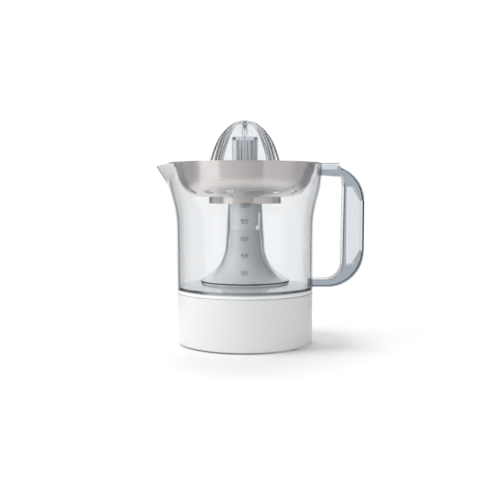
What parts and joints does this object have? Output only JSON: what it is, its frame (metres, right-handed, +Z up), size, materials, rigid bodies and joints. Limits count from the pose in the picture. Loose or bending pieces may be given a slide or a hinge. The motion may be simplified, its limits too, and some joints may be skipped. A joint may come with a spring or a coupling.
{
  "type": "citrus press juicer",
  "caption": "Electric citrus press: white drum base with geared motor, clear spouted jug with D handle and centre column, slotted steel strainer and ribbed clear reamer",
  "frame": {"origin": "on the drive axis at table level", "axes": "+Z up along the drive axis, +X towards the handle, -Y towards the front with the scale"},
  "size_m": [0.2065, 0.1538, 0.2215],
  "materials": {
    "white_plastic": "smooth white moulding",
    "grey_plastic": "satin cool grey moulding",
    "clear_plastic": "clear polished moulding",
    "tinted_plastic": "clear blue-grey moulding",
    "polished_steel": "bright satin pressing",
    "dark_rubber": "matt",
    "plated_steel": "zinc plated",
    "plate_steel": "rolled sheet",
    "gear_nylon": "natural nylon",
    "bronze": "sintered",
    "laminations": "stacked sheet",
    "bobbin_plastic": "moulded",
    "copper": "enamelled wire",
    "ferrite": "sintered",
    "black_plastic": "moulded"
  },
  "bodies": {
    "base": {"base_housing": "white_plastic", "base_plate": "white_plastic", "rubber_feet": "dark_rubber", "base_screws": "plated_steel", "cord_gland": "dark_rubber", "drive_tower": "grey_plastic", "tower_bush": "bronze", "lower_gear_plate": "plate_steel", "upper_gear_plate": "plate_steel", "gear_pillars": "plated_steel", "gear_screws": "plated_steel", "gear_axles": "plated_steel", "stator_core": "laminations", "coil_bobbins": "bobbin_plastic", "coil_windings": "copper", "rotor_bridge": "plate_steel", "rotor_bearings": "bronze", "motor_screws": "plated_steel", "micro_switch": "black_plastic", "return_spring": "plated_steel"},
    "output_gear": {"output_gear": "gear_nylon"},
    "spindle": {"output_spindle": "plated_steel", "spindle_coupling": "gear_nylon"},
    "second_gear": {"second_gear": "gear_nylon"},
    "first_gear": {"first_gear": "gear_nylon"},
    "rotor": {"rotor_magnet": "ferrite", "rotor_shaft": "plated_steel", "rotor_pinion": "gear_nylon"},
    "plunger": {"switch_plunger": "gear_nylon"},
    "lever": {"switch_lever": "plated_steel"},
    "jug": {"jug_wall": "clear_plastic", "jug_floor": "clear_plastic", "jug_handle": "tinted_plastic", "handle_cover": "tinted_plastic"},
    "strainer": {"strainer_bowl": "polished_steel"},
    "bush": {"shaft_bush": "grey_plastic"},
    "shaft": {"drive_shaft": "grey_plastic"},
    "reamer": {"reamer": "clear_plastic"}
  },
  "joints": [
    {"name": "jug_lift", "type": "slide", "parent": "base", "child": "jug", "axis": [0, 0, 1], "range_m": [0, 0.08]},
    {"name": "strainer_lift", "type": "slide", "parent": "jug", "child": "strainer", "axis": [0, 0, 1], "range_m": [0, 0.07]},
    {"name": "shaft_press", "type": "slide", "parent": "strainer", "child": "bush", "axis": [0, 0, 1], "range_m": [-0.003, 0], "stiffness_N_per_m": 1500, "springref_m": 0.004},
    {"name": "shaft_spin", "type": "hinge", "parent": "bush", "child": "shaft", "pos_m": [0, 0, 0.1355], "axis": [0, 0, 1], "continuous": true},
    {"name": "reamer_lift", "type": "slide", "parent": "shaft", "child": "reamer", "axis": [0, 0, 1], "range_m": [0, 0.06]},
    {"name": "output_spin", "type": "hinge", "parent": "base", "child": "output_gear", "pos_m": [0, 0, 0.04], "axis": [0, 0, 1], "continuous": true},
    {"name": "spindle_press", "type": "slide", "parent": "output_gear", "child": "spindle", "axis": [0, 0, 1], "range_m": [-0.003, 0]},
    {"name": "second_spin", "type": "hinge", "parent": "base", "child": "second_gear", "pos_m": [0.02819, 0.01026, 0.036], "axis": [0, 0, 1], "continuous": true},
    {"name": "first_spin", "type": "hinge", "parent": "base", "child": "first_gear", "pos_m": [0.02978, -0.01369, 0.031], "axis": [0, 0, 1], "continuous": true},
    {"name": "rotor_spin", "type": "hinge", "parent": "base", "child": "rotor", "pos_m": [0.017, -0.034, 0.015], "axis": [0, 0, 1], "continuous": true},
    {"name": "plunger_press", "type": "slide", "parent": "base", "child": "plunger", "axis": [0, 0, 1], "range_m": [-0.003, 0], "deforming": ["return_spring"]},
    {"name": "lever_swing", "type": "hinge", "parent": "base", "child": "lever", "pos_m": [-0.0282, 0, 0.012], "axis": [0, 1, 0], "range_deg": [0, 11]}
  ],
  "couplings": [
    {"joint": "output_spin", "follows": "shaft_spin", "ratio": 1},
    {"joint": "second_spin", "follows": "shaft_spin", "ratio": -3},
    {"joint": "first_spin", "follows": "shaft_spin", "ratio": 9},
    {"joint": "rotor_spin", "follows": "shaft_spin", "ratio": -36},
    {"joint": "spindle_press", "follows": "shaft_press", "ratio": 1},
    {"joint": "plunger_press", "follows": "shaft_press", "ratio": 1},
    {"joint": "lever_swing", "follows": "shaft_press", "rad_per_m": -60}
  ]
}
